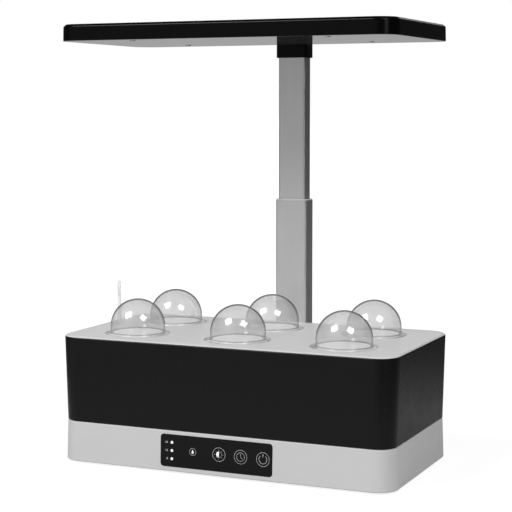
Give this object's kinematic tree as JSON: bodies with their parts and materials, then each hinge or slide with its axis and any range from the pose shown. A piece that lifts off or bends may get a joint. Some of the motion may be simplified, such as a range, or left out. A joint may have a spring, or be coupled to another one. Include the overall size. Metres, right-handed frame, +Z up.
{
  "type": "countertop hydroponic garden",
  "caption": "Countertop hydroponic garden: base with touch panel, lift-off water tank, deck of domed net pods and a grow light on a telescoping mast.",
  "frame": {"origin": "on the resting plane under the middle of the whole object's box", "axes": "+Z up, +X to the right seen from the panel, +Y to the back, where the mast stands"},
  "size_m": [0.3, 0.1767, 0.3708],
  "materials": {
    "base_grey": "fine satin",
    "foot_rubber": "matte",
    "screw_steel": "satin",
    "panel_gloss": "high gloss",
    "light_white": "satin",
    "board_green": "satin",
    "fitting_black": "satin",
    "lead_black": "matte",
    "mast_aluminium": "satin anodised",
    "bush_grey": "satin",
    "tank_black": "satin",
    "pump_grey": "satin",
    "cup_rubber": "matte",
    "deck_grey": "satin",
    "gauge_white": "satin",
    "basket_white": "satin",
    "sponge_brown": "open-cell",
    "cap_grey": "satin",
    "dome_clear": "clear, high gloss",
    "neck_black": "satin",
    "shade_black": "satin gloss",
    "plate_grey": "gloss",
    "board_white": "satin",
    "led_yellow": "satin"
  },
  "bodies": {
    "base": {"base_case": "base_grey", "base_cover": "base_grey", "rubber_feet": "foot_rubber", "cover_screws": "screw_steel", "control_overlay": "panel_gloss", "level_lights": "light_white", "touch_board": "board_green", "main_board": "board_green", "dc_inlet": "fitting_black", "contact_socket": "fitting_black", "base_lead": "lead_black", "lower_mast": "mast_aluminium", "mast_bush": "bush_grey", "mast_screws": "screw_steel"},
    "tank": {"water_tank": "tank_black", "pump_body": "pump_grey", "pump_filter": "fitting_black", "pump_outlet": "pump_grey", "pump_cups": "cup_rubber", "pump_lead": "lead_black", "contact_plug": "fitting_black"},
    "deck_plate": {"deck": "deck_grey"},
    "float": {"gauge_rod": "gauge_white", "float_block": "gauge_white"},
    "lamp_head": {"upper_mast": "mast_aluminium", "mast_glide": "bush_grey", "mast_lead": "lead_black", "lamp_neck": "neck_black", "neck_screws": "screw_steel", "lamp_shade": "shade_black", "lamp_plate": "plate_grey", "plate_screws": "screw_steel", "led_board": "board_white", "led_chips": "led_yellow", "lamp_lead": "lead_black"},
    "pod_1": {"basket_1": "basket_white", "sponge_1": "sponge_brown", "pod_cap_1": "cap_grey"},
    "cloche_1": {"dome_1": "dome_clear"},
    "pod_2": {"basket_2": "basket_white", "sponge_2": "sponge_brown", "pod_cap_2": "cap_grey"},
    "cloche_2": {"dome_2": "dome_clear"},
    "pod_3": {"basket_3": "basket_white", "sponge_3": "sponge_brown", "pod_cap_3": "cap_grey"},
    "cloche_3": {"dome_3": "dome_clear"},
    "pod_4": {"basket_4": "basket_white", "sponge_4": "sponge_brown", "pod_cap_4": "cap_grey"},
    "cloche_4": {"dome_4": "dome_clear"},
    "pod_5": {"basket_5": "basket_white", "sponge_5": "sponge_brown", "pod_cap_5": "cap_grey"},
    "cloche_5": {"dome_5": "dome_clear"},
    "pod_6": {"basket_6": "basket_white", "sponge_6": "sponge_brown", "pod_cap_6": "cap_grey"},
    "cloche_6": {"dome_6": "dome_clear"}
  },
  "joints": [
    {"name": "lamp_height", "type": "slide", "parent": "base", "child": "lamp_head", "axis": [0, 0, 1], "range_m": [-0.12, 0.03], "deforming": ["mast_lead"]},
    {"name": "tank_lift", "type": "slide", "parent": "base", "child": "tank", "axis": [0, 0, 1], "range_m": [0, 0.012]},
    {"name": "deck_lift", "type": "slide", "parent": "tank", "child": "deck_plate", "axis": [0, 0, 1], "range_m": [0, 0.025]},
    {"name": "float_level", "type": "slide", "parent": "deck_plate", "child": "float", "axis": [0, 0, 1], "range_m": [-0.034, 0.0015]},
    {"name": "pod_lift_1", "type": "slide", "parent": "deck_plate", "child": "pod_1", "axis": [0, 0, 1], "range_m": [0, 0.03]},
    {"name": "dome_lift_1", "type": "slide", "parent": "pod_1", "child": "cloche_1", "axis": [0, 0, 1], "range_m": [0, 0.025]},
    {"name": "pod_lift_2", "type": "slide", "parent": "deck_plate", "child": "pod_2", "axis": [0, 0, 1], "range_m": [0, 0.03]},
    {"name": "dome_lift_2", "type": "slide", "parent": "pod_2", "child": "cloche_2", "axis": [0, 0, 1], "range_m": [0, 0.025]},
    {"name": "pod_lift_3", "type": "slide", "parent": "deck_plate", "child": "pod_3", "axis": [0, 0, 1], "range_m": [0, 0.03]},
    {"name": "dome_lift_3", "type": "slide", "parent": "pod_3", "child": "cloche_3", "axis": [0, 0, 1], "range_m": [0, 0.025]},
    {"name": "pod_lift_4", "type": "slide", "parent": "deck_plate", "child": "pod_4", "axis": [0, 0, 1], "range_m": [0, 0.03]},
    {"name": "dome_lift_4", "type": "slide", "parent": "pod_4", "child": "cloche_4", "axis": [0, 0, 1], "range_m": [0, 0.025]},
    {"name": "pod_lift_5", "type": "slide", "parent": "deck_plate", "child": "pod_5", "axis": [0, 0, 1], "range_m": [0, 0.03]},
    {"name": "dome_lift_5", "type": "slide", "parent": "pod_5", "child": "cloche_5", "axis": [0, 0, 1], "range_m": [0, 0.025]},
    {"name": "pod_lift_6", "type": "slide", "parent": "deck_plate", "child": "pod_6", "axis": [0, 0, 1], "range_m": [0, 0.03]},
    {"name": "dome_lift_6", "type": "slide", "parent": "pod_6", "child": "cloche_6", "axis": [0, 0, 1], "range_m": [0, 0.025]}
  ]
}
